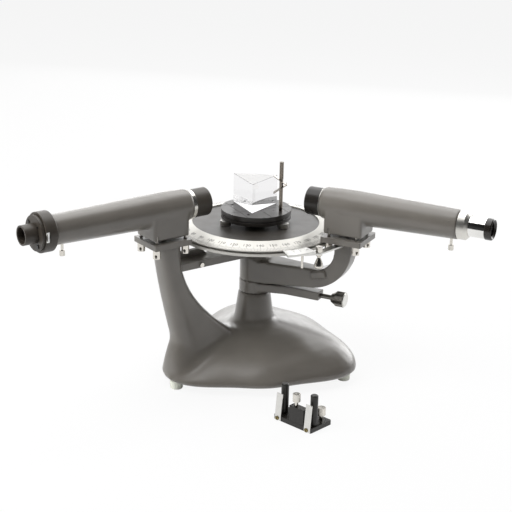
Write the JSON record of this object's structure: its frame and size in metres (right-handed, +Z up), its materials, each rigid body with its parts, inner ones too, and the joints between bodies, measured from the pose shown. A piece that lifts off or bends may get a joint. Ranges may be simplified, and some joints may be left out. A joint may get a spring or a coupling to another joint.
{
  "type": "spectrometer",
  "caption": "Student spectrometer: cast base, collimator with slit, telescope on a swinging arm, divided circle with vernier, levelling prism table, prism and a grating holder.",
  "frame": {"origin": "centre of the whole object's footprint on the bench", "axes": "+X to the right along the longest extent, +Y to the back, +Z up along the main axis"},
  "size_m": [0.4766, 0.2922, 0.2381],
  "materials": {
    "grey_paint": "satin stove enamel",
    "black_enamel": "satin black",
    "eyecup_black": "matt black",
    "bright_aluminium": "fine turned",
    "nickel": "polished nickel plate",
    "plain_steel": "turned",
    "pale_rubber": "matt moulded",
    "clear_glass": "polished",
    "plain_brass": "turned"
  },
  "bodies": {
    "base": {"base_casting": "grey_paint", "base_cover": "plain_steel", "rubber_feet": "pale_rubber", "central_column": "grey_paint", "spindle": "plain_steel", "tie_bar": "grey_paint", "tie_bar_screws": "nickel", "collimator_pad": "grey_paint"},
    "collimator": {"collimator_casting": "grey_paint", "collimator_studs": "plain_steel", "collimator_nuts": "nickel", "collimator_lens_cell": "bright_aluminium", "collimator_lens": "clear_glass", "collimator_hood": "black_enamel"},
    "collimator_lock": {"collimator_lock_screw": "nickel"},
    "slit_draw": {"slit_draw_tube": "black_enamel", "slit_plate": "black_enamel", "slit_tube": "black_enamel", "slit_screws": "black_enamel"},
    "slit_ring": {"slit_ring": "black_enamel"},
    "slit_jaw_left": {"slit_jaw_left": "plain_steel"},
    "slit_jaw_right": {"slit_jaw_right": "plain_steel"},
    "telescope_arm": {"telescope_arm": "grey_paint", "telescope_pad": "grey_paint", "clamp_ring": "grey_paint", "vernier_plate": "bright_aluminium", "vernier_strip": "bright_aluminium", "vernier_pin": "nickel"},
    "clamp_screw": {"clamp_screw": "nickel"},
    "vernier_screw": {"vernier_screw": "nickel"},
    "telescope": {"telescope_casting": "grey_paint", "telescope_studs": "plain_steel", "telescope_nuts": "nickel", "telescope_lens_cell": "bright_aluminium", "telescope_lens": "clear_glass", "telescope_hood": "black_enamel"},
    "telescope_lock": {"telescope_lock_screw": "nickel"},
    "eyepiece_tube": {"eyepiece_tube": "bright_aluminium", "crosswire_ring": "black_enamel"},
    "eyepiece": {"eyepiece_barrel": "nickel", "eyepiece_cap": "eyecup_black", "eyepiece_lenses": "clear_glass"},
    "dial": {"dial_carrier": "bright_aluminium", "dial_ring": "bright_aluminium", "dial_disc": "black_enamel"},
    "table_stem": {"table_stem": "plain_steel"},
    "table": {"table_lower_plate": "black_enamel", "table_top_plate": "black_enamel"},
    "levelling_screw_left": {"levelling_screw_left": "nickel"},
    "levelling_screw_right": {"levelling_screw_right": "nickel"},
    "levelling_screw_back": {"levelling_screw_back": "nickel"},
    "clamp_post": {"clamp_post": "plain_steel"},
    "spring_clip": {"spring_clip": "nickel"},
    "prism": {"prism": "clear_glass"},
    "grating_holder": {"holder_plate": "black_enamel", "holder_posts": "black_enamel", "holder_springs": "nickel", "holder_brass_screws": "plain_brass"},
    "holder_screw_front": {"holder_screw_front": "nickel"},
    "holder_screw_back": {"holder_screw_back": "nickel"}
  },
  "joints": [
    {"name": "collimator_tilt", "type": "hinge", "parent": "base", "child": "collimator", "pos_m": [-0.10107, -0.04099, 0.1742], "axis": [0.5934, -0.8049, 0], "range_deg": [-1, 1]},
    {"name": "collimator_lock_turn", "type": "hinge", "parent": "collimator", "child": "collimator_lock", "pos_m": [-0.19669, -0.11149, 0.1796], "axis": [0, 0, 1], "range_deg": [-360, 360]},
    {"name": "slit_focus", "type": "slide", "parent": "collimator", "child": "slit_draw", "axis": [-0.8049, -0.5934, 0], "range_m": [0, 0.02]},
    {"name": "slit_ring_turn", "type": "hinge", "parent": "slit_draw", "child": "slit_ring", "pos_m": [-0.20763, -0.11956, 0.2026], "axis": [-0.8049, -0.5934, 0], "range_deg": [-10, 60]},
    {"name": "slit_jaw_left_slide", "type": "slide", "parent": "slit_draw", "child": "slit_jaw_left", "axis": [0.5934, -0.8049, 0], "range_m": [-0.00012, 0.0007]},
    {"name": "slit_jaw_right_slide", "type": "slide", "parent": "slit_draw", "child": "slit_jaw_right", "axis": [-0.5934, 0.8049, 0], "range_m": [-0.00012, 0.0007]},
    {"name": "telescope_swing", "type": "hinge", "parent": "base", "child": "telescope_arm", "pos_m": [-0.00528, 0.02963, 0], "axis": [0, 0, 1], "range_deg": [-55, 205]},
    {"name": "clamp_screw_turn", "type": "hinge", "parent": "telescope_arm", "child": "clamp_screw", "pos_m": [0.07996, -0.01231, 0.09735], "axis": [0.8973, -0.4415, 0], "range_deg": [-360, 360]},
    {"name": "vernier_screw_turn", "type": "hinge", "parent": "telescope_arm", "child": "vernier_screw", "pos_m": [0.06087, -0.05062, 0.1605], "axis": [0, 0, 1], "range_deg": [-360, 360]},
    {"name": "telescope_tilt", "type": "hinge", "parent": "telescope_arm", "child": "telescope", "pos_m": [0.09225, -0.01836, 0.1742], "axis": [0.4415, 0.8973, 0], "range_deg": [-1, 1]},
    {"name": "telescope_lock_turn", "type": "hinge", "parent": "telescope", "child": "telescope_lock", "pos_m": [0.19436, -0.06861, 0.1796], "axis": [0, 0, 1], "range_deg": [-360, 360]},
    {"name": "eyepiece_tube_slide", "type": "slide", "parent": "telescope", "child": "eyepiece_tube", "axis": [0.8973, -0.4415, 0], "range_m": [0, 0.03]},
    {"name": "eyepiece_slide", "type": "slide", "parent": "eyepiece_tube", "child": "eyepiece", "axis": [0.8973, -0.4415, 0], "range_m": [-0.004, 0.008]},
    {"name": "dial_turn", "type": "hinge", "parent": "base", "child": "dial", "pos_m": [-0.00528, 0.02963, 0.1649], "axis": [0, 0, 1], "continuous": true},
    {"name": "table_lift", "type": "slide", "parent": "base", "child": "table_stem", "axis": [0, 0, 1], "range_m": [0, 0.03]},
    {"name": "table_turn", "type": "hinge", "parent": "table_stem", "child": "table", "pos_m": [-0.00528, 0.02963, 0.1741], "axis": [0, 0, 1], "continuous": true},
    {"name": "levelling_screw_left_turn", "type": "hinge", "parent": "table", "child": "levelling_screw_left", "pos_m": [-0.03755, 0.01458, 0.1741], "axis": [0, 0, 1], "range_deg": [-360, 360]},
    {"name": "levelling_screw_right_turn", "type": "hinge", "parent": "table", "child": "levelling_screw_right", "pos_m": [0.02388, 0.00921, 0.1741], "axis": [0, 0, 1], "range_deg": [-360, 360]},
    {"name": "levelling_screw_back_turn", "type": "hinge", "parent": "table", "child": "levelling_screw_back", "pos_m": [-0.00218, 0.06509, 0.1741], "axis": [0, 0, 1], "range_deg": [-360, 360]},
    {"name": "clamp_post_turn", "type": "hinge", "parent": "table", "child": "clamp_post", "pos_m": [0.02111, 0.02156, 0.1841], "axis": [0, 0, 1], "range_deg": [-60, 60]},
    {"name": "spring_clip_slide", "type": "slide", "parent": "clamp_post", "child": "spring_clip", "axis": [0, 0, 1], "range_m": [-0.012, 0.01]},
    {"name": "prism_lift", "type": "slide", "parent": "table", "child": "prism", "axis": [0, 0, 1], "range_m": [0, 0.06]},
    {"name": "holder_lift", "type": "slide", "parent": "base", "child": "grating_holder", "axis": [0, 0, 1], "range_m": [0, 0.1]},
    {"name": "holder_screw_front_turn", "type": "hinge", "parent": "grating_holder", "child": "holder_screw_front", "pos_m": [0.04014, -0.12528, 0.022], "axis": [0, 0, 1], "range_deg": [-360, 360]},
    {"name": "holder_screw_back_turn", "type": "hinge", "parent": "grating_holder", "child": "holder_screw_back", "pos_m": [0.06601, -0.12008, 0.005], "axis": [0, 0, 1], "range_deg": [-360, 360]}
  ],
  "couplings": [
    {"joint": "slit_jaw_left_slide", "follows": "slit_ring_turn", "m_per_rad": 0.0006},
    {"joint": "slit_jaw_right_slide", "follows": "slit_ring_turn", "m_per_rad": 0.0006}
  ]
}
